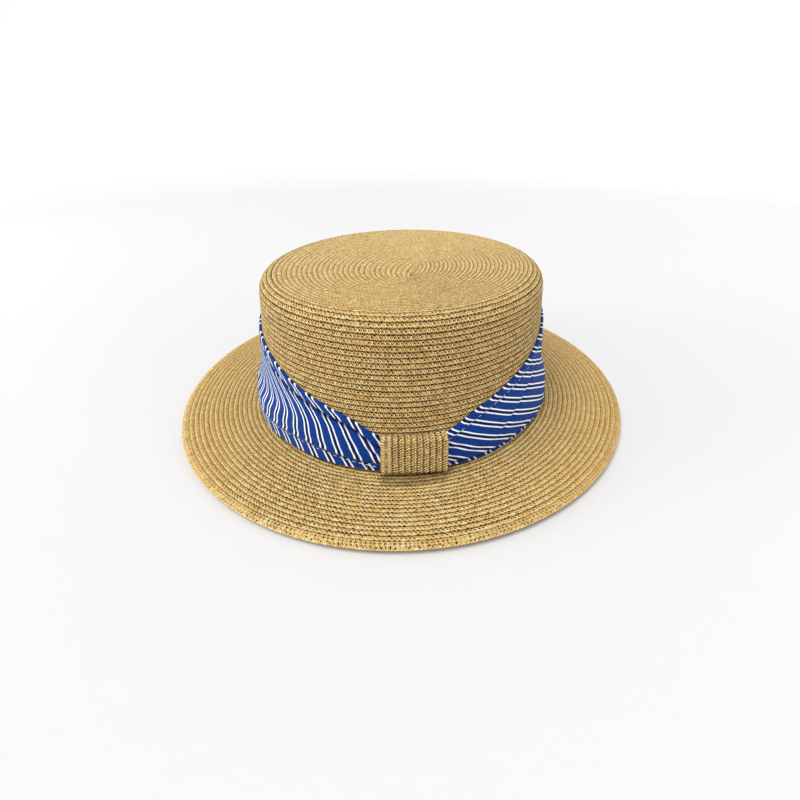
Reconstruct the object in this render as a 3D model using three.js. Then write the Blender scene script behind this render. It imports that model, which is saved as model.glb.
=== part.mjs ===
// A straw boater hat: a hollow oval crown with a nearly flat tip, a flat brim, a folded scarf
// worn as the hat band, and a keeper loop of straw braid that gathers the scarf.
//
// Frame: millimetres, +Z up. The hat lies on its brim at z = 0, with the oval's centre at
// x = y = 0. The long way of the oval runs along Y, and the front of the hat faces -Y.
import * as THREE from 'three';
import { mergeVertices } from 'three/addons/utils/BufferGeometryUtils.js';

// ---- Driving dimensions -------------------------------------------------------------------

// Crown: the outside of the wall at its foot, and how the wall rises from there.
const crownHalfWidth = 87.5;
const crownHalfLength = 99;
const crownWallHeight = 80;
const crownTaper = 6.4;
const tipEdgeRadius = 8.5;
const tipDome = 1.5;
const strawThickness = 2;

// Brim: it lies flat for a little way round the crown, then lifts and levels out.
const brimWidth = 50;
const brimThickness = 2.2;
const brimFlatWidth = 6;
const brimLift = 4.4;
const brimDroop = 2.4;
const brimEdgeRadius = 0.7;

// Clearance between pieces that touch on the real hat.
const gap = 0.3;

// Keeper loop: its middle, counted from the front of the oval towards +X, its height above
// the brim's root, and how far its front stands off the crown. The braid is stiff: its front
// is flatter than the crown, so its ends stand off further, most of all at the +X end.
const loopAngle = 15.5;
const loopLow = 0.8;
const loopHigh = 24;
const loopWall = 1.7;
const loopDepth = 4.8;
const loopFlattening = 1.2;
const loopLean = 0.8;
const loopCornerRadius = 1.4;

// Scarf: the cloth is folded to a band with a stitched hem along each edge.
const scarfHemHeight = 4.5;
const scarfClothThickness = 1;

// Where the scarf's edges run: angle from the middle of the loop, positive towards +X, and
// the heights of the upper and the lower edge above the brim's root.
const scarfEdges = [
  { away: -180, upper: 57, lower: 1 },
  { away: -105, upper: 56.5, lower: 1 },
  { away: -75, upper: 52.5, lower: 1.2 },
  { away: -60, upper: 47.5, lower: 2.2 },
  { away: -45, upper: 41, lower: 3.2 },
  { away: -30, upper: 34.6, lower: 4 },
  { away: -20, upper: 30, lower: 4.2 },
  { away: -10.3, upper: 21.9, lower: 2.8 },
  { away: 10.3, upper: 21.9, lower: 2.8 },
  { away: 20, upper: 29, lower: 1.4 },
  { away: 30, upper: 34.4, lower: 1.2 },
  { away: 45, upper: 41, lower: 1.6 },
  { away: 60, upper: 47.5, lower: 1.4 },
  { away: 75, upper: 53, lower: 1.2 },
  { away: 105, upper: 56.5, lower: 1 },
  { away: 180, upper: 57, lower: 1 },
];

// Across the scarf from its lower to its upper edge: the hems passed, the share of the height
// between the hems, and how far the outside of the cloth stands off the crown there. It is
// pressed flat in the loop, stands a little full in front, bells out low at the sides, and
// lies plainly round the back.
const scarfSection = [
  { hems: 0, share: 0, loop: 1.5, front: 2, side: 4.4, back: 2 },
  { hems: 1, share: 0, loop: 2.1, front: 2.2, side: 5.2, back: 2.4 },
  { hems: 1, share: 0.25, loop: 2.2, front: 3.3, side: 5.3, back: 2.8 },
  { hems: 1, share: 0.5, loop: 2.2, front: 3.1, side: 2.2, back: 2.6 },
  { hems: 1, share: 0.8, loop: 2.2, front: 2.2, side: 1.4, back: 2 },
  { hems: 1, share: 1, loop: 2, front: 1.5, side: 1.4, back: 1.5 },
  { hems: 2, share: 1, loop: 1.5, front: 1.4, side: 1.4, back: 1.4 },
];

// The angles from the middle of the loop between which the scarf's section changes over:
// from the loop's, at the loop's end, to the front's, then to the side's and to the back's.
const scarfFullFrom = 24;
const scarfSideChange = { from: 36, to: 66 };
const scarfBackChange = { from: 84, to: 125 };

// Facets: stations round the oval, and steps across each rounded stretch.
const stations = 70;
const stationsInHalfLoop = 2;
const edgeSteps = 4;
const tipSteps = 3;
const brimSteps = 5;
const loopSteps = 8;
const cornerSteps = 2;

// ---- Derived dimensions -------------------------------------------------------------------

const brimRoot = brimThickness;
const crownFoot = brimRoot + gap;
const wallTop = brimRoot + crownWallHeight - tipEdgeRadius;
const stationAngle = 360 / stations;
const loopHalfAngle = stationsInHalfLoop * stationAngle;

// ---- Helpers ------------------------------------------------------------------------------

const { degToRad, euclideanModulo, lerp, smoothstep } = THREE.MathUtils;

// A point at an angle from the front of the oval, some way out from the crown's foot.
function ovalPoint(angle, outward, z) {
  const turn = degToRad(angle);
  const x = (crownHalfWidth + outward) * Math.sin(turn);
  const y = -(crownHalfLength + outward) * Math.cos(turn);
  return new THREE.Vector3(x, y, z);
}

// How far the outside of the crown's wall lies from its foot at height z: 0 or less.
function wallOutward(z) {
  return (-crownTaper * (z - brimRoot)) / crownWallHeight;
}

// The shortest way round from the middle of the loop, in degrees, positive towards +X.
function angleFromLoop(angle) {
  return euclideanModulo(angle - loopAngle + 180, 360) - 180;
}

// Turns the triangles over if they enclose a negative volume, so that the faces point out.
function facingOut(geometry) {
  const position = geometry.getAttribute('position');
  const index = geometry.getIndex().array;
  const a = new THREE.Vector3();
  const b = new THREE.Vector3();
  const c = new THREE.Vector3();
  let volume = 0;
  for (let i = 0; i < index.length; i += 3) {
    a.fromBufferAttribute(position, index[i]);
    b.fromBufferAttribute(position, index[i + 1]);
    c.fromBufferAttribute(position, index[i + 2]);
    volume += a.dot(b.cross(c));
  }
  if (volume < 0) {
    for (let i = 0; i < index.length; i += 3) {
      [index[i + 1], index[i + 2]] = [index[i + 2], index[i + 1]];
    }
  }
  geometry.computeVertexNormals();
  return geometry;
}

// A closed skin over rings that go round the oval. Each ring is a function from an angle to a
// point, taken at stations that start at the middle of the loop, so that the loop's ends fall
// on stations. With poles, a single point closes each end; without, the last ring joins the
// first.
function ringSolid(rings, poles = null) {
  const points = [];
  const index = [];
  for (const ring of rings) {
    for (let s = 0; s < stations; s += 1) {
      points.push(ring(loopAngle + s * stationAngle));
    }
  }
  const at = (ring, station) => (ring % rings.length) * stations + (station % stations);
  const bands = poles ? rings.length - 1 : rings.length;
  for (let r = 0; r < bands; r += 1) {
    for (let s = 0; s < stations; s += 1) {
      index.push(at(r, s), at(r, s + 1), at(r + 1, s + 1));
      index.push(at(r, s), at(r + 1, s + 1), at(r + 1, s));
    }
  }
  if (poles) {
    const first = points.push(poles[0]) - 1;
    const last = points.push(poles[1]) - 1;
    for (let s = 0; s < stations; s += 1) {
      index.push(first, at(0, s + 1), at(0, s));
      index.push(last, at(rings.length - 1, s), at(rings.length - 1, s + 1));
    }
  }
  const geometry = new THREE.BufferGeometry().setFromPoints(points);
  geometry.setIndex(index);
  return facingOut(geometry);
}

// The same ring at every angle: a fixed way out from the oval at a fixed height.
function levelRing(outward, z) {
  return (angle) => ovalPoint(angle, outward, z);
}

// A ring of the tip: the oval at the given way out, shrunk towards the centre.
function tipRing(outward, share, z) {
  return (angle) => ovalPoint(angle, outward, z).multiply(new THREE.Vector3(share, share, 1));
}

// ---- Crown --------------------------------------------------------------------------------

// One face of the crown's shell, from its foot to the last ring before the centre. The inner
// face follows the outer one at the straw's thickness.
function crownFace(inset) {
  const rings = [levelRing(wallOutward(crownFoot) - inset, crownFoot)];
  const radius = tipEdgeRadius - inset;
  const tipOutward = wallOutward(wallTop) - tipEdgeRadius;
  for (let step = 0; step <= edgeSteps; step += 1) {
    const turn = (Math.PI / 2) * (step / edgeSteps);
    const outward = tipOutward + radius * Math.cos(turn);
    rings.push(levelRing(outward, wallTop + radius * Math.sin(turn)));
  }
  for (let step = 1; step <= tipSteps; step += 1) {
    const share = 1 - step / (tipSteps + 1);
    const rise = tipDome * (1 - share * share);
    rings.push(tipRing(tipOutward, share, wallTop + radius + rise));
  }
  return rings;
}

function crownGeometry() {
  const outer = crownFace(0).reverse();
  const inner = crownFace(strawThickness);
  const top = new THREE.Vector3(0, 0, wallTop + tipEdgeRadius + tipDome);
  const underTop = top.clone().setZ(top.z - strawThickness);
  return ringSolid([...outer, ...inner], [top, underTop]);
}

// ---- Brim ---------------------------------------------------------------------------------

// How far the brim has risen some way out from its root.
function brimRise(outward) {
  const share = Math.max(0, outward / brimWidth);
  return brimLift * share - brimDroop * share ** 3;
}

function brimGeometry() {
  const inside = wallOutward(crownFoot) - strawThickness;
  const edge = brimWidth - brimEdgeRadius;
  const rings = [levelRing(inside, 0), levelRing(inside, brimRoot), levelRing(0, brimRoot)];
  for (let step = 1; step <= brimSteps; step += 1) {
    const outward = (edge * step) / brimSteps;
    rings.push(levelRing(outward, brimRoot + brimRise(outward)));
  }
  rings.push(levelRing(brimWidth, brimRise(brimWidth) + brimThickness - brimEdgeRadius));
  rings.push(levelRing(brimWidth, brimRise(brimWidth) + brimEdgeRadius));
  for (let step = brimSteps; step > 1; step -= 1) {
    const outward = (edge * step) / brimSteps;
    rings.push(levelRing(outward, brimRise(outward)));
  }
  rings.push(levelRing(brimFlatWidth, 0));
  return ringSolid(rings);
}

// ---- Scarf --------------------------------------------------------------------------------

// The height of one of the scarf's edges at an angle from the loop, straight from row to row.
function edgeHeight(column, away) {
  const next = Math.max(1, scarfEdges.findIndex((row) => row.away >= away));
  const from = scarfEdges[next - 1];
  const to = scarfEdges[next];
  return lerp(from[column], to[column], (away - from.away) / (to.away - from.away));
}

// How far the outside of the cloth stands off the crown at one place of its section.
function clothStandOff(place, away) {
  const round = Math.abs(away);
  const front = lerp(place.loop, place.front, smoothstep(round, loopHalfAngle, scarfFullFrom));
  const { from, to } = scarfSideChange;
  const side = lerp(front, place.side, smoothstep(round, from, to));
  return lerp(side, place.back, smoothstep(round, scarfBackChange.from, scarfBackChange.to));
}

function scarfRing(place, inside) {
  return (angle) => {
    const away = angleFromLoop(angle);
    const low = edgeHeight('lower', away);
    const high = edgeHeight('upper', away);
    const free = high - low - 2 * scarfHemHeight;
    const z = brimRoot + low + place.hems * scarfHemHeight + place.share * free;
    const off = clothStandOff(place, away) - (inside ? scarfClothThickness : 0);
    return ovalPoint(angle, wallOutward(z) + off, z);
  };
}

function scarfGeometry() {
  const outer = scarfSection.map((place) => scarfRing(place, false));
  const inner = scarfSection.map((place) => scarfRing(place, true)).reverse();
  return ringSolid([...outer, ...inner]);
}

// ---- Keeper loop --------------------------------------------------------------------------

// The loop's section, open towards the crown: x is the way out from the crown's wall and y
// the height above the brim's root. Its two legs reach the crown above and below the scarf.
function loopSection() {
  const r = loopCornerRadius;
  const inner = loopDepth - loopWall;
  const section = new THREE.Shape();
  section.moveTo(gap, loopLow);
  section.lineTo(loopDepth - r, loopLow);
  section.absarc(loopDepth - r, loopLow + r, r, -Math.PI / 2, 0);
  section.lineTo(loopDepth, loopHigh - r);
  section.absarc(loopDepth - r, loopHigh - r, r, 0, Math.PI / 2);
  section.lineTo(gap, loopHigh);
  section.lineTo(gap, loopHigh - loopWall);
  section.lineTo(inner, loopHigh - loopWall);
  section.lineTo(inner, loopLow + loopWall);
  section.lineTo(gap, loopLow + loopWall);
  section.closePath();
  return section;
}

// How much further the loop's front stands off at a share of its half width, -1 to 1.
function loopExtraStandOff(share) {
  return loopFlattening * share * share + loopLean * share;
}

// The section is swept as a straight bar with a half length of 1, and the bar is then bent
// round the oval's front. The ends of the legs follow the crown, and the rest follows the
// flatter front.
function loopGeometry() {
  const halfLength = 1;
  const bar = new THREE.ExtrudeGeometry(loopSection(), {
    depth: 2 * halfLength,
    steps: loopSteps,
    curveSegments: cornerSteps,
    bevelEnabled: false,
  });
  bar.deleteAttribute('normal');
  bar.deleteAttribute('uv');
  const geometry = mergeVertices(bar);
  const position = geometry.getAttribute('position');
  for (let i = 0; i < position.count; i += 1) {
    const share = position.getZ(i) - halfLength;
    const z = brimRoot + position.getY(i);
    const atCrown = position.getX(i) < 2 * gap;
    const off = position.getX(i) + (atCrown ? 0 : loopExtraStandOff(share));
    const point = ovalPoint(loopAngle + share * loopHalfAngle, wallOutward(z) + off, z);
    position.setXYZ(i, point.x, point.y, point.z);
  }
  return facingOut(geometry);
}

// ---- Assembly -----------------------------------------------------------------------------

const straw = { color: 0xc4a068, roughness: 0.72, metalness: 0 };
const cotton = { color: 0x20419a, roughness: 0.8, metalness: 0 };

const hat = new THREE.Group();

function addPiece(name, geometry, finish) {
  const piece = new THREE.Mesh(geometry, new THREE.MeshStandardMaterial(finish));
  piece.name = name;
  hat.add(piece);
}

addPiece('crown', crownGeometry(), straw);
addPiece('brim', brimGeometry(), straw);
addPiece('scarf_band', scarfGeometry(), cotton);
addPiece('braid_loop', loopGeometry(), straw);

export default hat;
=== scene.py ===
"""The looks of a straw boater hat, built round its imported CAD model.

The braid of the crown, the brim and the loop, the scarf with its hems, and its stitches are
modelled as meshes. Lengths are in millimetres, until a mesh is made in metres.
"""
import math

import bmesh
import bpy
import numpy as np
from mathutils import Matrix, Vector, noise


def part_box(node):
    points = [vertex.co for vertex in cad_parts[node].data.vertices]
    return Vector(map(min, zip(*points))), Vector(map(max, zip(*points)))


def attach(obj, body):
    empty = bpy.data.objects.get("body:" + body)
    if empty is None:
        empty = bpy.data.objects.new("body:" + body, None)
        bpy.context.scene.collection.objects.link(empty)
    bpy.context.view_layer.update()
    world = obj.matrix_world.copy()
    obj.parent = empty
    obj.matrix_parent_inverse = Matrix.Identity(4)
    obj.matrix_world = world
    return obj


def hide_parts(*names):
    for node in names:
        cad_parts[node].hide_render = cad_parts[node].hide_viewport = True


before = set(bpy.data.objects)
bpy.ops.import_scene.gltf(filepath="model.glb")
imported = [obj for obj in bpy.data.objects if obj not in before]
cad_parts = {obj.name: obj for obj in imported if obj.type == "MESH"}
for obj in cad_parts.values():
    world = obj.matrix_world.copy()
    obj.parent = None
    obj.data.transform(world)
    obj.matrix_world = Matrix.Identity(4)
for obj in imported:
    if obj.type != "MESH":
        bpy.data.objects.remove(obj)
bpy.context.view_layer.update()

MM = 0.001

# ---- Places from the frame ----


def box_mm(node):
    """The lowest and the highest corner of a CAD node, in millimetres."""
    low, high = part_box(node)
    return Vector(low) / MM, Vector(high) / MM


crown_low, crown_high = box_mm("crown")
_, brim_high = box_mm("brim")

# The oval: half its width and half its length at the crown's foot.
half_width = crown_high.x
half_length = crown_high.y
brim_width = brim_high.y - crown_high.y
crown_foot = crown_low.z
tip_top = crown_high.z

# ---- The hat's own sizes ----

brim_root = 2.2
brim_lift = 4.4
brim_droop = 2.4
brim_flat_width = 6.0
underside_rise = 0.13
straw_thickness = 2.0
crown_taper = 6.4 / 80
tip_edge_radius = 8.5
tip_dome = 1.5
tip_middle_forward = 24.0
tip_middle_right = 11.0
loop_angle = 15.5
loop_half_angle = 10.286

# The sewn braid: how far apart its rows are, and how far apart its strands are along a row.
row_pitch = 2.74
strand_pitch = 2.0
loop_strand_pitch = 1.4
crown_row_shift = -0.37

# How far the spiral's rows stray, and how fast, in turns.
row_stray = 0.14
row_stray_pace = 9.0


def table(names, rows):
    """A short table as its columns: their names in one string, and a tuple for each row."""
    return dict(zip(names.split(), np.array(rows, float).T))


def smooth_steps(x, low, high):
    """0 below low and 1 above high, eased between them."""
    share = np.clip((np.asarray(x, float) - low) / (high - low), 0, 1)
    return share * share * (3 - 2 * share)


def smooth_table(x, xs, ys):
    """A smooth curve through a short table's points, at x."""
    xs, ys = np.asarray(xs, float), np.asarray(ys, float)
    slopes = np.gradient(ys, xs)
    x = np.clip(x, xs[0], xs[-1])
    i = np.clip(np.searchsorted(xs, x) - 1, 0, len(xs) - 2)
    width = xs[i + 1] - xs[i]
    t = (x - xs[i]) / width
    t2, t3 = t * t, t * t * t
    from_start = (2 * t3 - 3 * t2 + 1) * ys[i] + (t3 - 2 * t2 + t) * width * slopes[i]
    from_end = (3 * t2 - 2 * t3) * ys[i + 1] + (t3 - t2) * width * slopes[i + 1]
    return from_start + from_end


def oval(angle, outward, z):
    """Points at angles in degrees from the front of the oval, some way out from the foot."""
    turn = np.radians(angle)
    x = (half_width + outward) * np.sin(turn)
    y = -(half_length + outward) * np.cos(turn)
    return np.stack(np.broadcast_arrays(x, y, z), axis=-1)


def run_along(points):
    """The way along a line of points to each of them."""
    steps = np.linalg.norm(np.diff(points, axis=0), axis=1)
    return np.concatenate([[0], np.cumsum(steps)])


def bump(place, middle, width):
    """1 at the middle and falling off on both sides over a width."""
    return np.exp(-((place - middle) / width) ** 2)


def wall_outward(z):
    """How far the crown's wall has drawn in at height z: 0 or less."""
    return -crown_taper * (np.asarray(z, float) - brim_root)


# ---- Meshes ----


def weld(mesh, distance=1e-6):
    """Joins points that lie together, drops faces with no area and turns the rest outwards."""
    bm = bmesh.new()
    bm.from_mesh(mesh)
    bmesh.ops.remove_doubles(bm, verts=bm.verts, dist=distance)
    bmesh.ops.dissolve_degenerate(bm, edges=bm.edges, dist=distance)
    bmesh.ops.recalc_face_normals(bm, faces=bm.faces)
    bm.to_mesh(mesh)
    bm.free()


class Skin:
    """Points, faces and UVs that several grids add to."""

    def __init__(self, uv_names):
        self.points = []
        self.faces = []
        self.uvs = {name: [] for name in uv_names}
        self.count = 0

    def add_grid(self, points, uvs, flip=False):
        """points: rows x columns x 3. uvs: name to rows x columns x 2."""
        rows, columns = points.shape[:2]
        ids = np.arange(rows * columns).reshape(rows, columns) + self.count
        quads = np.stack([ids[:-1, :-1], ids[:-1, 1:], ids[1:, 1:], ids[1:, :-1]], axis=-1)
        order = [3, 2, 1, 0] if flip else [0, 1, 2, 3]
        self.faces.append(quads[..., order].reshape(-1, 4))
        self.points.append(points.reshape(-1, 3))
        self.count += rows * columns
        for name, uv in uvs.items():
            corners = [uv[:-1, :-1], uv[:-1, 1:], uv[1:, 1:], uv[1:, :-1]]
            stacked = np.stack([corners[i] for i in order], axis=2)
            self.uvs[name].append(stacked.reshape(-1, 2))

    def make(self, name, material):
        """One smooth, welded object from all the grids."""
        mesh = bpy.data.meshes.new(name)
        points = np.concatenate(self.points) * MM
        mesh.from_pydata(points.tolist(), [], np.concatenate(self.faces).tolist())
        for uv_name, corners in self.uvs.items():
            layer = mesh.uv_layers.new(name=uv_name)
            layer.data.foreach_set("uv", np.concatenate(corners).astype(np.float32).ravel())
        weld(mesh)
        mesh.shade_smooth()
        mesh.materials.append(material)
        piece = bpy.data.objects.new(name, mesh)
        bpy.context.scene.collection.objects.link(piece)
        return piece

    def make_piece(self, name, material, node=None):
        """An object that rides on the hat and in place of a CAD node."""
        piece = self.make(name, material)
        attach(piece, "root")
        if node:
            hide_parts(node)
        return piece


# ---- Braid ----

# One row across, from where it comes out from under the row before it to its free edge: the
# share of the way across, and how far the straw stands above the middle surface.
ROW_OUTSIDE = [(0.0, -0.34), (0.12, -0.02), (0.38, 0.16), (0.7, 0.22), (0.93, 0.12),
               (1.04, -0.12)]
ROW_INSIDE = [(0.0, -0.2), (0.3, 0.1), (0.8, 0.08)]

# The last row shows its whole width, level between its two edges.
LAST_ROW_SHARES = np.array([0.0, 0.1, 0.5, 0.9, 1.0])
LAST_ROW_LEVEL = np.array([0, 1, 1, 1, 0])
last_row_slant = 0.45

# The UV map "braid" holds, along the row, strands, and across it, rows: the free edge of row
# r is at ROW_SPAN * r + 1.
ROW_SPAN = 4.0

# Where the two sides of a plait meet and where it ends, as shares of the way across a row.
plait_middle = 0.46
plait_edge = 0.94

# Where the brim's free edge starts and ends, as shares of the way across its last row.
free_edge_across = (0.95, 0.55)


def stray(turns, seed):
    """A slow uneven shift along the spiral, at places counted in turns."""
    flat = [noise.noise(Vector((t * row_stray_pace, seed, 0.5))) for t in np.ravel(turns)]
    return row_stray * np.reshape(flat, np.shape(turns))


def spiral_edges(length, angles, seed, shift):
    """The rows' edges along a meridian of that length, as one spiral from its start.

    Row k lies between lines k and k + 1. The first row starts with no width, the last line of
    the spiral closes on itself at its tail, and the last row runs on to the end. shift, from
    -1 to 0, moves every line by that share of a row.
    """
    share = angles / 360
    count = int(length / row_pitch - shift) - 1

    def line(k):
        turns = np.maximum(0, k + share + shift)
        return row_pitch * turns + stray(k + share, seed) * np.minimum(1, turns)

    lines = [np.zeros_like(share)] + [line(k) for k in range(count)]
    tail = smooth_steps(share, 0.9, 1.0)
    start = lines[-1][-1]
    last = line(count)
    lines.append(last + tail * (start - last))
    lines.append(np.full_like(share, length))
    return lines


def whole_plait(share):
    """Across a row that shows its whole width: the plait's middle is in its own middle."""
    return plait_middle + (plait_edge - plait_middle) * np.abs(2 * np.asarray(share) - 1)


def braid_skin(skin, face, stations, seed, inside, shift=0.0, slide=None):
    """Rows of braid on one face of a shell: its meridian, and that meridian's length.

    meridian turns a distance from the start into (outward, z, normal out, normal up), and on
    the shell's inside the braid stands against that normal. slide gives how far a place that
    way outward is moved, as (x, y).
    """
    meridian, length = face
    angles = np.linspace(0, 360, stations + 1)
    lines = spiral_edges(length, angles, seed, shift)
    shares, heights = np.array(ROW_INSIDE if inside else ROW_OUTSIDE).T
    side = -1 if inside else 1
    along = 0.0
    rows = len(lines) - 1
    for row in range(rows):
        start, end = lines[row], lines[row + 1]
        width = end - start
        last_row = row == rows - 1
        share = np.append(shares, 1.0)
        height = np.append(heights, heights[0])
        if last_row:
            share = LAST_ROW_SHARES
            height = heights[0] * (1 - LAST_ROW_LEVEL) + heights[-2] * LAST_ROW_LEVEL
        full = np.minimum(1, np.maximum(width, 0) / row_pitch)
        distance = np.clip(start + share[:, None] * width, 0, length)
        outward, z, normal_out, normal_up = meridian(distance)
        lift = side * height[:, None] * full
        points = oval(angles + 180, outward + lift * normal_out, z + lift * normal_up)
        if slide is not None:
            points[..., :2] += slide(outward)
        middle = oval(angles + 180, meridian(np.clip(0.5 * (start + end), 0, length))[0], 0.0)
        run = along + run_along(middle)
        along = run[-1]
        across = 1 - (1 - share[:, None]) * width / row_pitch
        slant = 0 * across
        if last_row:
            across = np.broadcast_to(whole_plait(share)[:, None], across.shape)
            slant = last_row_slant * np.abs(2 * share[:, None] - 1)
        uv = np.stack([run / strand_pitch + slant, across + ROW_SPAN * row], axis=-1)
        skin.add_grid(points, {"braid": uv}, inside)
    return angles


def along_path(distance, pieces):
    """Follows (length, function) pieces one after another; each gives four arrays."""
    result = [np.zeros_like(distance) for _ in range(4)]
    start = 0.0
    for i, (length, follow) in enumerate(pieces):
        last = i == len(pieces) - 1
        here = (distance >= start) & ((distance < start + length) | last)
        values = follow(distance - start)
        for target, value in zip(result, values):
            target[here] = np.broadcast_to(value, distance.shape)[here]
        start += length
    return result


# ---- Crown ----

wall_top = tip_top - tip_dome - tip_edge_radius


def crown_meridian(inset):
    """The crown's outer face, or its inner face at an inset: (meridian, length)."""
    radius = tip_edge_radius - inset
    edge = tip_edge()
    wall = wall_top - crown_foot
    arc = radius * math.pi / 2

    def tip(d):
        share = d / edge
        z = wall_top + radius + tip_dome * (1 - share**2)
        return d - half_width, z, np.zeros_like(d), np.ones_like(d)

    def corner(d):
        turn = d / radius
        outward = edge - half_width + radius * np.sin(turn)
        return outward, wall_top + radius * np.cos(turn), np.sin(turn), np.cos(turn)

    def side(d):
        z = wall_top - d
        return wall_outward(z) - inset, z, np.ones_like(d), np.full_like(d, crown_taper)

    pieces = [(edge, tip), (arc, corner), (wall, side)]
    return (lambda d: along_path(d, pieces)), edge + arc + wall


def tip_edge():
    """How far the flat tip reaches from its middle line, before it rounds down."""
    return half_width + float(wall_outward(wall_top)) - tip_edge_radius


def tip_slide(outward):
    """How far a place that way outward is moved, as (x, y).

    The tip's rows lie round a middle that is nearer the front and the right than the oval's.
    """
    share = np.clip(1 - (outward + half_width) / tip_edge(), 0, 1)
    return share[..., None] * np.array([tip_middle_right, -tip_middle_forward])


def ring_grid(angles, places):
    """A plain grid round the oval through (outward, z) places."""
    return np.stack([oval(angles + 180, outward, z) for outward, z in places])


def add_join(skin, angles, places, flip=False):
    """A hidden join between two skins, with a UV away from every row's edge."""
    points = ring_grid(angles, places)
    skin.add_grid(points, {"braid": np.full(points.shape[:2] + (2,), 0.5)}, flip)


def edge_uv(angles, count):
    """A UV for the brim's free edge: strands along it, and part of a row across it."""
    run = run_along(oval(angles, brim_width, 0.0))
    across = np.linspace(*free_edge_across, count)[:, None]
    uv = np.broadcast_arrays(run / strand_pitch, across)
    return {"braid": np.stack(uv, axis=-1)}


def make_crown(material):
    stations = 160
    skin = Skin(["braid"])
    for inside, inset, seed in ((False, 0, 1.0), (True, straw_thickness, 2.0)):
        angles = braid_skin(skin, crown_meridian(inset), stations, seed, inside,
                            crown_row_shift, tip_slide)
    foot = float(wall_outward(crown_foot))
    out_lift, in_lift = ROW_OUTSIDE[0][1], ROW_INSIDE[0][1]
    add_join(skin, angles, [
        (foot + out_lift, crown_foot + out_lift * crown_taper),
        (foot - straw_thickness - in_lift, crown_foot - in_lift * crown_taper),
    ])
    return skin.make_piece("crown_braid", material, "crown")


# ---- Brim ----


def brim_rise(outward):
    """How far the brim has risen some way out from the crown's foot."""
    share = np.maximum(0, outward / brim_width)
    return brim_lift * share - brim_droop * share**3


brim_inner = float(wall_outward(crown_foot)) - straw_thickness
brim_outer = brim_width - brim_root / 2


def brim_meridian(underside):
    """The brim's upper or lower face from its inner edge to near its outer one."""
    def face(d):
        outward = brim_inner + d
        rise = brim_rise(outward)
        if underside:
            z = underside_rise + rise * smooth_steps(outward, 0, brim_flat_width)
        else:
            z = brim_root + rise
        return outward, z, np.zeros_like(d), np.ones_like(d)

    return face, brim_outer - brim_inner


def make_brim(material):
    stations = 256
    skin = Skin(["braid"])
    for underside, seed in ((False, 3.0), (True, 4.0)):
        angles = braid_skin(skin, brim_meridian(underside), stations, seed, underside)

    high, low = brim_root + ROW_OUTSIDE[0][1], -ROW_INSIDE[0][1]
    add_join(skin, angles, [(brim_inner, high), (brim_inner, low)], True)

    middle = float(brim_rise(brim_outer)) + (high + low) / 2
    radius = (high - low) / 2
    places = [(brim_outer + radius * math.sin(t), middle + radius * math.cos(t))
              for t in np.linspace(0, math.pi, 7)]
    skin.add_grid(ring_grid(angles, places), edge_uv(angles, len(places)))
    return skin.make_piece("brim_braid", material, "brim")


# ---- Keeper loop ----

loop_bottom = 2.5
loop_top = 22.8
loop_wall = 1.7
loop_depth = 4.8
loop_low_corner = 1.9
loop_high_corner = 2.2
loop_off_crown = 0.35
loop_top_droop = 0.3
loop_flattening = 1.2
loop_lean = 0.8

# The loop's rows of braid run upright. Each is tucked under the one on its left, so the first
# shows its whole width: its share of the loop's width against the others' 1.
loop_first_row = 1.9
loop_first_row_slant = -1.6
loop_rows = 9

# One row across, as in ROW_OUTSIDE, and the free edge of the last one.
LOOP_ROW = [(0.0, -0.2), (0.08, 0.02), (0.3, 0.11), (0.5, 0.15), (0.8, 0.12), (0.97, 0.0)]
LOOP_EDGE = (1.0, -0.3)

# Where the outer and the inner side of the loop's two rims lie, as shares across a row.
LOOP_RIM_ACROSS = np.array([[0.7], [0.3]])


def loop_surface(share, reach, z):
    """A point of the loop: share of its half width, -1 to 1, way out from the crown, height."""
    off_crown = smooth_steps(reach, 0.6, 2.4)
    extra = off_crown * (loop_flattening * share**2 + loop_lean * share)
    return oval(loop_angle + share * loop_half_angle, wall_outward(z) + reach + extra, z)


def loop_path(lift, count):
    """The loop's section, lifted outwards: (way out, height above the root), foot to top."""
    top, bottom = loop_top + lift, loop_bottom - min(lift, loop_off_crown)
    front = loop_depth + lift
    corners = [(loop_low_corner, bottom + loop_low_corner, -math.pi / 2),
               (loop_high_corner, top - loop_high_corner, 0)]
    path = [(loop_off_crown, bottom)]
    for radius, height, start in corners:
        path += [(front - radius + radius * math.cos(t), height + radius * math.sin(t))
                 for t in np.linspace(start, start + math.pi / 2, 7)]
    path.append((loop_off_crown, top - loop_top_droop))
    path = np.array(path)
    run = run_along(path)
    even = np.linspace(0, run[-1], count)
    return np.stack([np.interp(even, run, path[:, i]) for i in (0, 1)], axis=1), even


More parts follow.
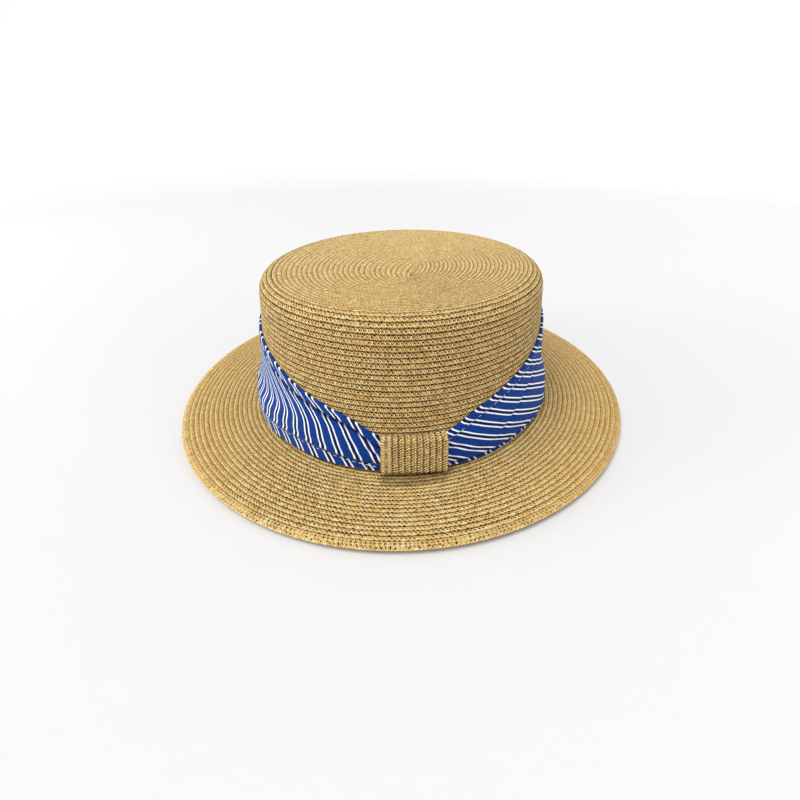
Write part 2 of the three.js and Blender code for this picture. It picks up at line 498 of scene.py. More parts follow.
def make_loop(material):
    count = 56
    widths = np.array([loop_first_row] + [1.0] * loop_rows)
    edges = np.concatenate([[0], np.cumsum(widths)]) / widths.sum() * 2 - 1
    columns = [(row, *place) for row in range(len(widths)) for place in LOOP_ROW]
    columns.append((len(widths) - 1, *LOOP_EDGE))
    inside, _ = loop_path(-loop_wall, count)
    reach_in = np.maximum(inside[:, 0], loop_off_crown)
    outer, inner, across, slants = [], [], [], []
    for row, place, lift in columns:
        share = edges[row] + place * (edges[row + 1] - edges[row])
        outside, _ = loop_path(lift, count)
        outer.append(loop_surface(share, outside[:, 0], brim_root + outside[:, 1]))
        inner.append(loop_surface(share, reach_in, brim_root + inside[:, 1]))
        across.append(ROW_SPAN * row + (place if row else float(whole_plait(place))))
        slants.append(0.0 if row else loop_first_row_slant * abs(2 * place - 1))
    outer, inner = np.stack(outer), np.stack(inner)
    _, run = loop_path(0.0, count)
    u = run / loop_strand_pitch + np.array(slants)[:, None]
    uv = np.stack(np.broadcast_arrays(u, np.array(across)[:, None]), axis=-1)
    skin = Skin(["braid"])
    skin.add_grid(outer, {"braid": uv})
    skin.add_grid(inner, {"braid": uv}, True)
    for side in (0, -1):
        rim = np.stack([outer[side], inner[side]])
        rim_uv = uv[[side, side]]
        rim_uv[..., 1] = ROW_SPAN * columns[side][0] + LOOP_RIM_ACROSS
        skin.add_grid(rim, {"braid": rim_uv}, side == 0)
        cap = np.stack([outer[:, side], inner[:, side]])
        cap_uv = np.stack([uv[:, side], uv[:, side]])
        skin.add_grid(cap, {"braid": cap_uv}, side == -1)
    return skin.make_piece("loop_braid_rows", material, "braid_loop")


# ---- Scarf ----

cloth_thickness = 0.5

# The length that the weave is given round the cloth's whole section, outside and inside.
weave_round_section = 120

# The scarf at angles from the loop's middle: its edges' heights above the brim's root, how wide
# the hems along them are, and how deep the creases beside the hems.
SCARF_EDGES = table("away upper lower low_hem high_hem low_dip high_dip", [
    (-180, 57, 1, 3.5, 4.5, 0.7, 0.6),
    (-105, 56.5, 1, 4.5, 4.5, 0.9, 0.6),
    (-75, 52.5, 1.2, 6.4, 4.5, 1.3, 0.8),
    (-60, 47.5, 1.8, 7.6, 4.5, 1.7, 1.0),
    (-45, 41, 2.4, 7.8, 4.6, 1.9, 1.2),
    (-30, 34.6, 2.6, 6.8, 4.6, 1.9, 1.25),
    (-20, 29.6, 2.5, 5.4, 4.2, 1.7, 1.2),
    (-10.3, 21.3, 2.0, 4.0, 5.0, 1.2, 0.8),
    (0, 20.3, 2.6, 2.6, 4.0, 1.0, 0.4),
    (10.3, 21.3, 2.6, 1.8, 4.2, 1.0, 0.3),
    (20, 28.8, 1.5, 1.9, 4.6, 1.1, 0.35),
    (30, 34.4, 1.2, 2.0, 4.6, 1.2, 0.35),
    (45, 41, 1.4, 2.0, 4.5, 1.2, 0.35),
    (60, 47.5, 1.3, 2.2, 4.5, 1.2, 0.35),
    (75, 53, 1.2, 2.6, 4.5, 1.1, 0.35),
    (105, 56.5, 1, 3.2, 4.5, 0.8, 0.5),
    (180, 57, 1, 3.5, 4.5, 0.7, 0.6),
])

# How far the outside of the cloth stands off the crown, at shares of the height between the
# hems; below 0 and above 1 are the hems. It changes from the loop to the front, the side and
# the back.
SCARF_STANDOFF = table("share loop front side back", [
    (-1.0, 1.9, 2.2, 4.4, 2.2),
    (0.0, 2.1, 2.5, 5.2, 2.5),
    (0.25, 2.2, 3.3, 5.3, 2.8),
    (0.5, 2.2, 3.1, 2.4, 2.6),
    (0.8, 2.2, 2.3, 1.9, 2.1),
    (1.0, 2.1, 1.9, 1.8, 1.9),
    (2.0, 1.9, 1.8, 1.8, 1.8),
])

# Where it changes to the next of these, in degrees from the loop's middle.
STANDOFF_CHANGES = dict(front=(loop_half_angle, 24), side=(36, 66), back=(84, 125))

# At each crease the cloth dips, and just above it the cloth bulges, by a share of the dip.
crease_width = 0.55
LOW_BULGE = dict(share=0.4, up=1.7, width=1.1)
HIGH_BULGE = dict(share=0.3, up=1.6, width=0.9)

# The painted shade in the creases: how far below the crease, how wide, and from what dip it
# starts and over what further dip it deepens.
LOW_SHADE = dict(down=0.3, width=0.6, start=0.0, deepens=1.6)
HIGH_SHADE = dict(down=0.6, width=0.8, start=0.2, deepens=1.1)

# A fold runs up across the right of the panel: a height at a way round, its rise, and where
# it comes and goes. The stripes jog a little across it.
fold_way = 52.5
fold_height = 13.4
fold_rise = 0.55
fold_depth = 0.9
fold_width = 1.1
fold_comes = (44, 54)
fold_goes = (88, 100)
fold_jog = 0.04
fold_jog_reach = 0.6

# Pleats gather beside the loop, and a slow wave runs all round.
pleat_depth = 0.55
pleats_across = 2.6
pleat_shift = 0.15
pleats_whole_to = 14
pleats_fade = 13
wave_depth = 0.35
wave_length = 38


def arc_lengths():
    """Angles from the loop's middle, -180 to 180, and the way round the oval to each."""
    steps_to_side = 1800
    angles = np.linspace(-180, 180, 2 * steps_to_side + 1)
    run = run_along(oval(angles + loop_angle, 0, 0))
    return angles, run - run[steps_to_side]


angle_at, arc_at = arc_lengths()
girth = arc_at[-1] - arc_at[0]


def away_at(way):
    """The angle from the loop's middle, -180 to 180, at a way round from it, 0 to the girth."""
    signed = way if way <= girth / 2 else way - girth
    return float(np.interp(signed, arc_at, angle_at))


def scarf_edge(name, away):
    """A column of SCARF_EDGES at one angle from the loop."""
    return float(smooth_table(away, SCARF_EDGES["away"], SCARF_EDGES[name]))


def cloth_standoff(share, away):
    """The smooth stand-off at shares of the free height, for one angle from the loop."""
    off = smooth_table(share, SCARF_STANDOFF["share"], SCARF_STANDOFF["loop"])
    for name, change in STANDOFF_CHANGES.items():
        here = smooth_table(share, SCARF_STANDOFF["share"], SCARF_STANDOFF[name])
        off = off + (here - off) * smooth_steps(abs(away), *change)
    return off


# The stripes come in pairs, which are counted along the scarf. On the left they are steep and
# bend over towards the top: where the pair nearest the loop and the ninth from it lie, as the
# way round from the loop's middle, at heights above the root.
LEFT_STRIPES = table("height near far", [
    (0, 16.5, 103.0),
    (11, 20.3, 101.0),
    (15, 22.3, 99.8),
    (18, 24.0, 98.3),
    (21, 25.8, 96.5),
    (24, 27.5, 96.0),
    (27, 29.4, 98.0),
    (30, 31.5, 100.8),
    (33, 35.0, 104.5),
    (36, 38.5, 109.0),
    (45, 50.0, 125.0),
    (60, 70.0, 155.0),
])
left_pairs_between = 9
left_pair_pitch = 10.05
left_side_length = 108.0

# The upper hem repeats the panel's stripes, a little further along.
high_hem_jog = 0.3

# How far round the right side's stripes reach unmixed, and the left side's, and the height at
# which the two are matched at the back.
right_side_length = 135
left_side_reach = 120
back_level = 25.0


def straight_pairs(start, level, run, pitch):
    """Counts straight pairs of stripes: where one passes a level, how far it runs along for
    each millimetre that it falls, and how far apart they are."""
    return lambda way, height: (way - start + run * (height - level)) / pitch


right_pairs = straight_pairs(start=19.8, level=13, run=2.35, pitch=17.4)
right_hem_pairs = straight_pairs(start=29.1, level=3, run=0.9, pitch=10.4)
left_hem_pairs = straight_pairs(start=-65.8, level=7, run=0.55, pitch=left_pair_pitch)


def left_pairs(way, height):
    """Counts the left side's stripes, with way negative there."""
    near = smooth_table(height, LEFT_STRIPES["height"], LEFT_STRIPES["near"])
    far = smooth_table(height, LEFT_STRIPES["height"], LEFT_STRIPES["far"])
    measured = np.maximum(way, -left_side_length)
    count = left_pairs_between * (measured + near) / (far - near)
    return count + (way - measured) / left_pair_pitch


def blended(way, height, right, left):
    """Counts on from the right side's stripes, round the back, to the left side's.

    way runs from 0 at the loop, round by the right and the back, to the girth.
    """
    middle = girth / 2
    whole = np.round(right(middle, back_level) - left(middle - girth, back_level))
    from_right = right(way, height)
    from_left = left(way - girth, height) + whole
    share = smooth_steps(way, right_side_length, girth - left_side_reach)
    return from_right + (from_left - from_right) * share


def main_pairs(way, height):
    """Counts the stripes of the panel between the hems."""
    above = smooth_steps(fold_distance(way, height), -fold_jog_reach, fold_jog_reach)
    jog = fold_jog * above * fold_reach(way)
    return blended(way, height, right_pairs, left_pairs) + jog


def fold_distance(way, height):
    """How far a place is above the right fold, or below it if negative."""
    return (height - fold_height - fold_rise * (way - fold_way)) / math.hypot(1, fold_rise)


def fold_reach(way):
    """1 where the right fold lies, and 0 beyond its ends."""
    return float(smooth_steps(way, *fold_comes) * (1 - smooth_steps(way, *fold_goes)))


def low_hem_pairs(way, height):
    """Counts the lower hem's stripes, which slant less than the panel's."""
    return blended(way, height, right_hem_pairs, left_hem_pairs)


def high_hem_pairs(way, height):
    return main_pairs(way + high_hem_jog, height)


# How many steps the section of the cloth has in a hem's layer that is folded behind, in the
# fold at the hem's edge, in the hem's outside, and in the panel; and the sizes of the first two.
inner_steps = 4
fold_steps = 4
hem_steps = 8
main_steps = 28
hem_fold_radius = 0.55
hem_layer_share = 0.65


def scarf_heights(away):
    """At an angle from the loop: the lower edge, its hem's crease, the upper one's, its edge."""
    low, high = scarf_edge("lower", away), scarf_edge("upper", away)
    low_hem, high_hem = scarf_edge("low_hem", away), scarf_edge("high_hem", away)
    return low, low + low_hem, high - high_hem, high


def cloth_outside(away, way, height):
    """How far the outside of the cloth stands off the crown's wall at a height."""
    low, low_crease, high_crease, high = scarf_heights(away)
    height = np.asarray(height, float)
    share = np.where(
        height < low_crease, (height - low_crease) / (low_crease - low),
        np.where(height > high_crease, 1 + (height - high_crease) / (high - high_crease),
                 (height - low_crease) / (high_crease - low_crease)))
    off = cloth_standoff(share, away)
    for name, crease, bulge in (("low_dip", low_crease, LOW_BULGE),
                                ("high_dip", high_crease, HIGH_BULGE)):
        beside = bulge["share"] * bump(height, crease + bulge["up"], bulge["width"])
        off = off - scarf_edge(name, away) * (bump(height, crease, crease_width) - beside)
    fold = bump(fold_distance(way, height), 0, fold_width) * fold_reach(way)
    off = off - fold_depth * fold * (height < high_crease) * (height > low_crease)
    return off + pleats(way, height, low_crease, high_crease)


def crease_shade(away, height):
    """How much painted shade the cloth gets in a crease, up to 1: just under the panel or the
    hem.
    """
    _, low_crease, high_crease, _ = scarf_heights(away)

    def shade(name, crease, down, width, start, deepens):
        dip = bump(height, crease - down, width) * scarf_edge(name, away)
        return (dip - start) / deepens

    low = shade("low_dip", low_crease, **LOW_SHADE)
    high = shade("high_dip", high_crease, **HIGH_SHADE)
    return np.minimum(1, np.maximum(low, high))


def scarf_section(away, way):
    """One section of the cloth's outside: arrays of stand-off, height and stripe pairs."""
    low, low_crease, high_crease, high = scarf_heights(away)
    rows = []
    radius = hem_fold_radius
    low_hem = np.linspace(low + radius, low_crease, hem_steps, endpoint=False)
    eased = 0.5 - 0.5 * np.cos(np.linspace(0, math.pi, main_steps))
    main = low_crease + (high_crease - low_crease) * eased
    high_hem = np.linspace(high_crease, high - radius, hem_steps + 1)[1:]
    turn_in = 2 * radius
    low_layer = hem_layer_share * (low_crease - low)
    high_layer = hem_layer_share * (high - high_crease)
    inner_low = np.linspace(low + low_layer, low + radius, inner_steps)
    inner_high = np.linspace(high - radius, high - high_layer, inner_steps)

    def standoff(heights):
        return cloth_outside(away, way, heights)

    turns = np.linspace(-math.pi / 2, math.pi / 2, fold_steps + 2)[1:-1]
    turn_low = low + radius - radius * np.cos(turns)
    turn_high = high - radius + radius * np.cos(turns[::-1])
    off_low = standoff(low + radius) - radius + radius * np.sin(turns)
    off_high = standoff(high - radius) - radius + radius * np.sin(turns[::-1])
    for heights, offs, pairs in (
            (inner_low, standoff(inner_low) - turn_in, low_hem_pairs),
            (turn_low, off_low, low_hem_pairs),
            (low_hem, standoff(low_hem), low_hem_pairs),
            (main, standoff(main), main_pairs),
            (high_hem, standoff(high_hem), high_hem_pairs),
            (turn_high, off_high, high_hem_pairs),
            (inner_high, standoff(inner_high) - turn_in, high_hem_pairs)):
        rows.extend(zip(offs, heights, pairs(way, heights)))
    return np.array(rows)


def pleats(way, height, low_crease, high_crease):
    """How far pleats beside the loop and a slow wave all round move the cloth outwards."""
    share = np.clip((height - low_crease) / (high_crease - low_crease), -0.3, 1.3)
    from_loop = min(way, girth - way)
    gather = math.exp(-max(0.0, from_loop - pleats_whole_to) / pleats_fade)
    gathered = pleat_depth * gather * np.cos(2 * math.pi * (pleats_across * share + pleat_shift))
    slow = noise.noise(Vector((way / wave_length, 0, 7.0)))
    return gathered + wave_depth * slow * np.sin(math.pi * share)


def make_scarf(material):
    stations = 470
    ways = np.linspace(0, girth, stations + 1)
    half = cloth_thickness / 2
    columns, counts, painted_shades = [], [], []
    for way in ways:
        away = away_at(way)
        section = scarf_section(away, way)
        middle, pairs = section[:, :2] - [half, 0], section[:, 2]
        slope = np.gradient(middle, axis=0)
        normal = slope[:, ::-1] * [1, -1] / np.linalg.norm(slope, axis=1)[:, None]
        outer, inner = middle + half * normal, middle - half * normal
        off, height = np.concatenate([outer, inner[::-1], outer[:1]]).T
        z = brim_root + height
        columns.append(oval(away + loop_angle, wall_outward(z) + off, z))
        counts.append(np.concatenate([pairs, pairs[::-1], pairs[:1]]))
        shade = crease_shade(away, middle[:, 1])
        painted_shades.append(np.concatenate([shade, 0 * shade, shade[:1]]))
    points = np.stack(columns, axis=1)
    across = np.linspace(0, weave_round_section, len(points))[:, None] + 0 * ways
    # The UV map crease holds the painted shade in the creases.
    maps = {"stripes": np.stack(counts, axis=1), "weave": ways,
            "crease": np.stack(painted_shades, axis=1)}
    skin = Skin(maps)
    skin.add_grid(points, {name: np.stack(np.broadcast_arrays(u, across), axis=-1)
                           for name, u in maps.items()})
    return skin.make_piece("scarf_cloth_band", material, "scarf_band")


# ---- Stitches ----

stitch_pitch = 3.4
stitch_length = 2.5
stitch_arch = 1.1
stitch_sunk = 0.5
thread_radius = 0.17
thread_end = 0.12
thread_rounding = 0.4
under_loop = 16.5

# The two seams: the crease's place among a section's scarf_heights, how far above it the
# stitches lie, where they start, and how far round from the loop they are hidden: on the right
# the panel hangs over the lower ones.
SEAMS = [
    dict(crease=1, above=-1.1, first=1.2, hidden_to=105.0),
    dict(crease=2, above=0.25, first=0.4, hidden_to=under_loop),
]


def stitch_seam(skin, crease, above, first, hidden_to):
    """Stitches along one crease: small closed tubes, half sunk in the cloth."""
    for start in np.arange(first, girth - stitch_length, stitch_pitch):
        if start < hidden_to or start + stitch_length > girth - under_loop:
            continue
        middles, radii = [], []
        for share in np.linspace(0, 1, 6):
            way = start + share * stitch_length
            away = away_at(way)
            height = scarf_heights(away)[crease] + above
            z = brim_root + height
            swell = math.sin(math.pi * share)
            arch = thread_radius * (stitch_arch * swell - stitch_sunk)
            off = float(cloth_outside(away, way, height)) + arch
            middles.append(oval(away + loop_angle, wall_outward(z) + off, z))
            whole = thread_end + (1 - thread_end) * swell**thread_rounding
            radii.append(thread_radius * whole)
        middles = np.array(middles)
        run = middles[-1] - middles[0]
        run = run / np.linalg.norm(run)
        out = middles[2] * [1, 1, 0]
        out = out - run * (out @ run)
        out = out / np.linalg.norm(out)
        side = np.cross(run, out)
        turns = np.linspace(0, 2 * math.pi, 7)
        ring = out * np.cos(turns)[:, None] + side * np.sin(turns)[:, None]
        tube = middles[:, None, :] + np.array(radii)[:, None, None] * ring[None, :, :]
        ends = [np.broadcast_to(middles[i], tube[0].shape) for i in (0, -1)]
        grid = np.concatenate([ends[0][None], tube, ends[1][None]])
        along = start + np.linspace(0, stitch_length, len(grid))[:, None]
        uv = np.stack(np.broadcast_arrays(along, turns), axis=-1)
        skin.add_grid(grid, {"thread": uv}, True)


def make_stitches(material):
    skin = Skin(["thread"])
    for seam in SEAMS:
        stitch_seam(skin, **seam)
    return skin.make_piece("scarf_stitches", material)


# ---- Materials ----


class Value:
    """A node's output, with arithmetic that adds more nodes."""

    def __init__(self, graph, socket):
        self.graph = graph
        self.socket = socket

    def __add__(self, other):
        return self.graph.math("ADD", self, other)

    def __sub__(self, other):
        return self.graph.math("SUBTRACT", self, other)

    def __rsub__(self, other):
        return self.graph.math("SUBTRACT", other, self)

    def __mul__(self, other):
        return self.graph.math("MULTIPLY", self, other)

    def __truediv__(self, other):
        return self.graph.math("DIVIDE", self, other)


class Graph:
    """A short way to write a material's nodes."""

    def __init__(self, name):
        self.material = bpy.data.materials.new(name)
        self.material.use_nodes = True
        self.tree = self.material.node_tree
        self.shader = self.tree.nodes["Principled BSDF"]

    def link(self, source, target):
        if isinstance(source, Value):
            self.tree.links.new(source.socket, target)
        else:
            target.default_value = source

    def node(self, kind, inputs=(), output=0, **settings):
        """A node's output, with its inputs set or linked: pairs of a name and a source."""
        node = self.tree.nodes.new(kind)
        for key, value in settings.items():
            setattr(node, key, value)
        for name, source in inputs:
            self.link(source, node.inputs[name])
        return Value(self, node.outputs[output])

    def math(self, operation, *values, clamp=False):
        return self.node("ShaderNodeMath", enumerate(values), operation=operation,
                         use_clamp=clamp)

    def absolute(self, a):
        return self.math("ABSOLUTE", a)

    def smallest(self, a, b):
        return self.math("MINIMUM", a, b)

    def largest(self, a, b):
        return self.math("MAXIMUM", a, b)

    def length(self, a, b):
        return self.math("SQRT", a * a + b * b)

    def part(self, value):
        """The whole number below a value, and what is left over it."""
        whole = self.math("FLOOR", value)
        return whole, value - whole

    def from_ends(self, share):
        """0 at either end of a share from 0 to 1, and 1 in its middle."""
        return self.smallest(share, 1.0 - share) * 2.0

    def ramp(self, value, low, high, start=0.0, end=1.0):
        """Eased from start to end as value goes from low to high."""
        return self.node("ShaderNodeMapRange", enumerate((value, low, high, start, end)),
                         interpolation_type="SMOOTHSTEP")

    def split(self, vector):
        """A vector's x, y and z."""
        split = self.tree.nodes.new("ShaderNodeSeparateXYZ")
        self.link(vector, split.inputs[0])
        return [Value(self, socket) for socket in split.outputs]

    def uv(self, name):
        return self.split(self.node("ShaderNodeUVMap", uv_map=name))[:2]

    def vector(self, x, y, z=0.0):
        return self.node("ShaderNodeCombineXYZ", enumerate((x, y, z)))

    def random(self, vector):
        return self.node("ShaderNodeTexWhiteNoise", [("Vector", vector)], "Value",
                         noise_dimensions="3D")

    def noise(self, vector, scale, detail=2.0, roughness=0.5):
        inputs = [("Vector", vector), ("Scale", scale), ("Detail", detail),
                  ("Roughness", roughness)]
        return self.node("ShaderNodeTexNoise", inputs, "Fac")

    def mix(self, share, a, b):
        return self.node("ShaderNodeMix", [(0, share), (6, a), (7, b)], 2, data_type="RGBA")

    def place(self):
        return self.node("ShaderNodeTexCoord", output="Object")

    def bump(self, height, distance):
        inputs = [("Strength", 1.0), ("Distance", distance), ("Height", height)]
        return self.node("ShaderNodeBump", inputs)

    def surface(self, **inputs):
        """Sets or links the shader's inputs: Base_Color stands for "Base Color"."""
        for name, source in inputs.items():
            self.link(source, self.shader.inputs[name.replace("_", " ")])
        return self.material


def shown(r, g, b):
    """The linear colour that is shown as r, g, b from 0 to 255."""
    def linear(c):
        c /= 255
        return c / 12.92 if c <= 0.04045 else ((c + 0.055) / 1.055) ** 2.4

    return (linear(r), linear(g), linear(b), 1.0)


STRAW_LIGHT = shown(255, 234, 167)
STRAW_MIDDLE = shown(250, 210, 132)
STRAW_DARK = shown(216, 171, 95)
STRAW_GAP_SHADE = shown(110, 67, 24)
STRAW_DEEP_SHADE = shown(54, 26, 8)


# The holes that the plait leaves, one to a strand, dark with painted shade: the middle along
# the row, in strands, and across it, in rows; half its size both ways; and a seed.
HOLES = [
    (0.5, plait_middle, 0.36, 0.24, 11.0),
    (0.0, 0.96, 0.42, 0.22, 23.0),
    (0.0, 0.14, 0.42, 0.2, 37.0),
]

# How slanted the strands are, and how far and how fast they stray along the row.
strand_slant = 1.1
strand_stray = 1.2
strand_stray_pace = 0.35

# How much of the painted shade in the holes and the gaps stays on the tip's rows.
tip_hole_shade = 0.6
tip_gap_shade = 0.58

# The brim's painted shade in holes and gaps is full in front and weaker at its sides, away
# from a line at front_x, where the straw is darker. The painted shadow at the loop's foot is
# loop_shadow_length along it and loop_shadow_width out. All are in metres.
front_x = 0.015
front_reach = (0.04, 0.1)
loop_shadow_length = 0.0195
loop_shadow_width = 0.0085


def painted_loop_shadow(g, middle, run):
    """A soft painted shadow on the brim's upper face, round a middle and along a run, as (x, y).
    """
    x, y, z = g.split(g.place())
    x, y = x - middle[0], y - middle[1]
    aside = (x * run[0] + y * run[1]) / loop_shadow_length
    out = (x * run[1] - y * run[0]) / loop_shadow_width
    reach = g.length(aside * aside, out)
    return g.ramp(reach, 0.55, 1.0, 0.5, 0.0) * g.ramp(z, 0.001, 0.0015)


def straw_material(name, gap_painted_shade=1.0, tip_rows=None, straws_to_strand=2.0,
                   side_shade_fade=0.0, row_shade=1.0, painted_light_lift=0.0, foot=None):
    """Plaited straw: strands that meet in chevrons along the middle of each row.

    Where two strands cross, the plait leaves a small hole, and between two straws a narrow
    gap; these and the lines between the rows get painted shade: gap_painted_shade says how dark
    the gaps' painted shade is, and row_shade how dark that of the lines. On rows before
    tip_rows, the tip's, the painted shade in holes and gaps is weaker; side_shade_fade
    weakens it by a share at the hat's sides, where the straw is darker. paler makes the straw
    lighter: painted light. foot is the middle and the run of the painted shadow at the loop's
    foot.
    """
    g = Graph(name)
    along, rows = g.uv("braid")
    row = g.math("FLOOR", (rows + 2.0) / ROW_SPAN)
    across = rows - row * ROW_SPAN
    along = along + g.random(g.vector(row, 3.0)) * 5.0
    place = g.vector(along * strand_stray_pace, across * 0.6, row)
    along = along + (g.noise(place, 1.0, 1.0) - 0.5) * strand_stray

    # The two sides of the plait are half a strand apart.
    from_middle = g.absolute(across - plait_middle)
    far_side = g.math("GREATER_THAN", across, plait_middle)
    strand_at = along + from_middle * strand_slant + far_side * 0.5
    strand, share = g.part(strand_at)
    strand_random = g.random(g.vector(strand, row, far_side))
    from_seam = g.from_ends(share)

    # Each strand is one flattened straw, or more side by side.
    straw, straw_share = g.part(strand_at * straws_to_strand)
    straw_random = g.random(g.vector(straw, row, far_side + 5.0))
    from_straw_edge = g.from_ends(straw_share)
    fibres = g.noise(g.vector(strand_at * 9.0, from_middle * 3.0, row), 1.0, 2.0, 0.7)
    patches = g.noise(g.place(), 18.0, 2.0, 0.5)

    def hole(middle_along, middle_across, half_along, half_across, seed):
        number, share = g.part(along + middle_along)
        chance = g.random(g.vector(number, row, seed))
        size = g.length((share - 0.5) / half_along, (across - middle_across) / half_across)
        return g.ramp(size, 0.35, 1.0, 1.0, 0.0) * g.ramp(chance, 0.0, 0.7, 0.35, 1.0)

    # Painted shade: in the holes, where a row comes out from under the one before, along its
    # free edge, and in the gaps between straws.
    middle_holes, edge_holes, upper_holes = (hole(*sizes) for sizes in HOLES)
    holes = g.largest(middle_holes, g.largest(edge_holes, upper_holes))
    tucked = g.ramp(across, 0.08, 0.26, 1.0, 0.0)
    edge_line = g.ramp(across, 0.92, 1.02, 0.0, 1.0)
    painted_hollow_shade = g.largest(holes, g.largest(tucked * 0.9, edge_line * 0.75) * row_shade)
    gaps = g.ramp(from_straw_edge, 0.15, 0.75, 1.0, 0.0) * (0.85 * gap_painted_shade)

    tone = strand_random * 0.3 + straw_random * 0.3
    tone = tone + (fibres - 0.5) * 0.4 + (patches - 0.5) * 0.1 + (0.4 + painted_light_lift)
    colour = g.mix(g.ramp(tone, 0.35, 0.65), STRAW_DARK, STRAW_MIDDLE)
    colour = g.mix(g.ramp(tone, 0.6, 0.95), colour, STRAW_LIGHT)
    # On the tip's rows the painted shade in holes and gaps is weaker.
    if tip_rows is not None:
        painted_hollow_shade = painted_hollow_shade * g.ramp(row, tip_rows - 1.0, tip_rows + 2.0, tip_hole_shade)
        gaps = gaps * g.ramp(row, tip_rows, tip_rows + 5.0, tip_gap_shade)
    # At the brim's sides the painted shade in holes and gaps is weaker, and the straw darker.
    if side_shade_fade:
        sideways = g.absolute(g.split(g.place())[0] - front_x)
        front_shade = g.ramp(sideways, *front_reach, 1.0, 1.0 - side_shade_fade)
        painted_hollow_shade = painted_hollow_shade * front_shade
        gaps = gaps * front_shade
        colour = g.mix((1.0 - front_shade) * 1.1, colour, STRAW_DARK)
    # A painted shadow on the brim at the loop's foot.
    if foot is not None:
        colour = g.mix(painted_loop_shadow(g, *foot), colour, STRAW_DEEP_SHADE)
    # The painted shade of the gaps, the holes and the lines between the rows.
    colour = g.mix(gaps, colour, STRAW_GAP_SHADE)
    colour = g.mix(painted_hollow_shade, colour, STRAW_DEEP_SHADE)

    height = g.math("POWER", from_seam, 0.5) + from_straw_edge * 0.6 - holes * 0.9
    roughness = g.ramp(fibres, 0.3, 0.8, 0.7, 0.5) + painted_hollow_shade * 0.3
    return g.surface(Base_Color=colour, Normal=g.bump(height, 0.0005), Roughness=roughness,
                     Specular_IOR_Level=0.2)


# The stripes: where the two white lines of a pair lie as shares of the way to the next pair,
# from where half their width is white to where it ends, and how far the navy spreads.
first_line, second_line = 0.335, 0.665
line_edge = (0.042, 0.066)
navy_edge = (0.06, 0.15)


def scarf_material():
    """Cotton with pairs of thin white stripes, navy between and beside them, on royal blue, and
    painted shade in its creases.
    """
    g = Graph("striped_cotton")
    pairs, across = g.uv("stripes")
    around, _ = g.uv("weave")
    painted_crease_shade, _ = g.uv("crease")
    wobble = g.noise(g.vector(around * 0.9, across * 0.9), 1.0, 2.0)
    share = g.math("FRACT", pairs + (wobble - 0.5) * 0.012 + first_line)
    from_line = g.smallest(g.absolute(share - first_line), g.absolute(share - second_line))
    white = g.ramp(from_line, *line_edge, 1.0, 0.0)
    beside = g.ramp(from_line, *navy_edge, 1.0, 0.0)
    past_first = g.math("GREATER_THAN", share, first_line)
    between = past_first * g.math("LESS_THAN", share, second_line)

    weave = g.math("SINE", around * 14.0) * g.math("SINE", across * 14.0)
    mottle = g.noise(g.vector(around, across), 1.4, 3.0, 0.6)

    royal = g.mix(g.ramp(mottle, 0.3, 0.7), shown(0, 32, 98), shown(10, 64, 150))
    chalk = g.mix(mottle, shown(214, 228, 248), shown(242, 247, 255))
    colour = g.mix(g.largest(between * 0.9, beside * 0.6), royal, shown(8, 20, 60))
    colour = g.mix(white, colour, chalk)
    # Painted shade in the creases.
    colour = g.mix(painted_crease_shade * 0.8, colour, shown(5, 9, 28))
    return g.surface(Base_Color=colour, Normal=g.bump(weave * 0.5 + mottle, 0.00006),
                     Roughness=0.78, Sheen_Weight=0.06, Sheen_Roughness=0.4,
                     Specular_IOR_Level=0.12)


def thread_material():
    """Pale twisted sewing thread."""
    g = Graph("pale_thread")
    along, around = g.uv("thread")
    twist = g.math("SINE", along * 14.0 + around)
    fuzz = g.noise(g.vector(along * 4.0, around), 1.0, 2.0)
    colour = g.mix(g.ramp(twist, -1.0, 1.0), shown(170, 190, 232), shown(236, 242, 252))
    colour = g.mix(fuzz * 0.3, colour, shown(120, 150, 210))
    return g.surface(Base_Color=colour, Normal=g.bump(twist, 0.00008),
                     Roughness=g.ramp(fuzz, 0.2, 0.8, 0.6, 0.85), Specular_IOR_Level=0.2)


# ---- Studio ----

# The photograph's viewpoint: close to the hat, above it and a little to the right of its
# middle. The lens is in millimetres.
camera_place = (52.7, -273.7, 156.2)
camera_forward = (-0.168, 0.835, -0.524)
camera_up = (-0.095, 0.515, 0.852)
camera_lens = 20.9

# The studio's sizes are in metres.
floor_rings = (0.0, 0.35, 0.7, 1.0)
floor_bend = 1.0
backdrop_height = 1.3
floor_grey = 0.627
backdrop_glow = 0.335
backdrop_glow_lean = 0.2
right_glow = 0.04

# The key light is a broad sun, and low discs light the hat's sides and front.
world_strength = 0.56
light_aim = (0, 0, 0.04)
KEY = dict(place=(-0.3, -0.34, 1.04), energy=2.36, angle=math.radians(36))
DISCS = [
    dict(name="left", place=(-1.2, -0.36, 0.16), energy=12.0, size=0.8),
    dict(name="right", place=(1.15, -0.45, 0.16), energy=5.2, size=0.8),
    dict(name="front", place=(0.15, -1.25, 0.2), energy=0.5, size=0.6),
]


def make_camera():
    place = Vector(camera_place) * MM
    forward = Vector(camera_forward).normalized()
    up = Vector(camera_up)
    up = (up - forward * up.dot(forward)).normalized()
    right = forward.cross(up)
    data = bpy.data.cameras.new("camera")
    data.lens = camera_lens
    data.clip_start = 0.01
    camera = bpy.data.objects.new("camera", data)
    axes = Matrix((right, up, -forward)).transposed()
    camera.matrix_world = Matrix.Translation(place) @ axes.to_4x4()
    bpy.context.scene.collection.objects.link(camera)
    bpy.context.scene.camera = camera


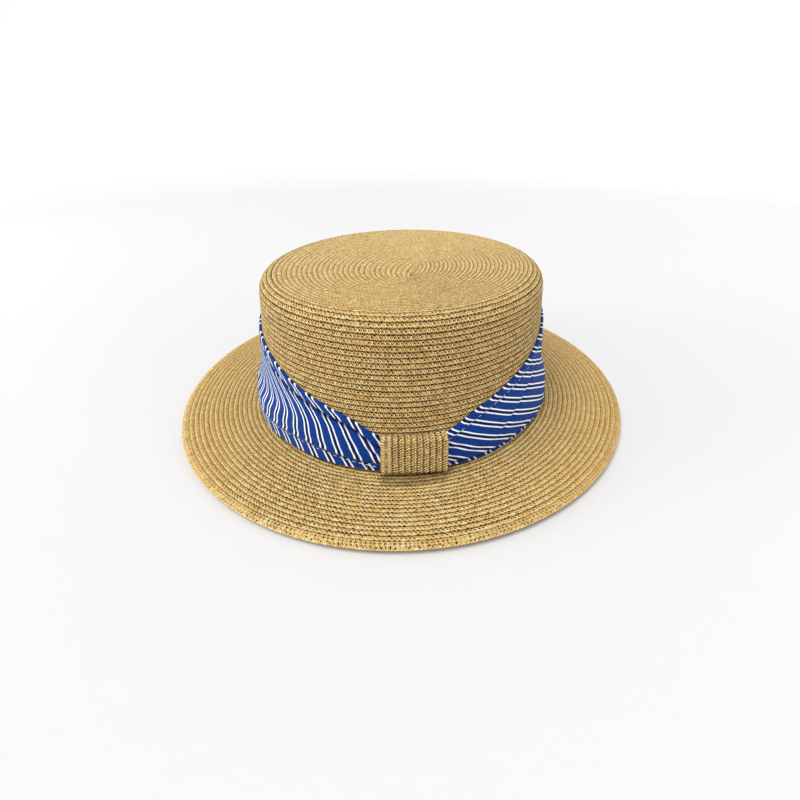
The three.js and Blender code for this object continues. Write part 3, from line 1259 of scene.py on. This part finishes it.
def make_floor():
    """A pale round floor whose rim curves up all round into a low wall, which glows a little."""
    flat = floor_rings[-1]
    profile = [(radius, 0.0) for radius in floor_rings]
    profile += [(flat + floor_bend * math.sin(turn), floor_bend * (1 - math.cos(turn)))
                for turn in np.linspace(0, math.pi / 2, 25)[1:]]
    profile.append((flat + floor_bend, backdrop_height))
    turns = np.linspace(0, 2 * math.pi, 97)
    grid = np.array([[(r * math.cos(t), r * math.sin(t), z) for t in turns] for r, z in profile])
    skin = Skin([])
    skin.add_grid(grid / MM, {})
    g = Graph("studio_floor")
    x, _, z = g.split(g.place())
    rise = g.math("SQRT", g.math("DIVIDE", z, floor_bend, clamp=True))
    glow = rise * (1.0 - x * backdrop_glow_lean) * backdrop_glow
    glow = glow + g.ramp(x, -0.3, 0.5, 0.0, right_glow)
    g.surface(Base_Color=(floor_grey, floor_grey, floor_grey, 1), Roughness=0.9,
              Specular_IOR_Level=0.0, Emission_Color=(1.0, 1.0, 1.0, 1), Emission_Strength=glow)
    skin.make("studio_floor", g.material)


def add_light(name, kind, place, energy, **settings):
    """A light at a place in metres that points at the middle of the hat."""
    data = bpy.data.lights.new(name, kind)
    data.energy = energy
    for key, value in settings.items():
        setattr(data, key, value)
    light = bpy.data.objects.new(name, data)
    light.location = place
    light.rotation_mode = "QUATERNION"
    aim = Vector(light_aim) - Vector(place)
    light.rotation_quaternion = aim.to_track_quat("-Z", "Y")
    bpy.context.scene.collection.objects.link(light)


def make_lights():
    world = bpy.data.worlds.new("studio")
    world.use_nodes = True
    background = world.node_tree.nodes["Background"]
    background.inputs["Color"].default_value = (1.0, 1.0, 1.0, 1)
    background.inputs["Strength"].default_value = world_strength
    bpy.context.scene.world = world
    add_light("key", "SUN", **KEY)
    for disc in DISCS:
        add_light(kind="AREA", shape="DISK", **disc)


bpy.context.scene.view_settings.view_transform = "Standard"
bpy.context.scene.cycles.denoising_prefilter = "NONE"  # keeps the straw's fine grain

crown_straw = straw_material("crown_straw_braid", tip_rows=tip_edge() / row_pitch)
# The painted shadow on the brim at the loop's foot.
foot_middle, foot_left, foot_right = (
    oval(loop_angle + turn, wall_outward(brim_root) + loop_depth, brim_root) * MM
    for turn in (0, -loop_half_angle, loop_half_angle))
foot_run = foot_right - foot_left
foot_run = foot_run / np.linalg.norm(foot_run)
brim_straw = straw_material("brim_straw_braid", gap_painted_shade=0.55, side_shade_fade=0.42,
                            foot=(foot_middle[:2].tolist(), foot_run[:2].tolist()))
# The loop's straw is made paler than the rest: painted light.
loop_straw = straw_material("loop_straw_braid", gap_painted_shade=0.85, straws_to_strand=1.0,
                            row_shade=0.7, painted_light_lift=0.06)
cotton = scarf_material()

make_camera()
make_floor()
make_lights()
make_crown(crown_straw)
make_brim(brim_straw)
make_loop(loop_straw)
scarf = make_scarf(cotton)
stitches = make_stitches(thread_material())
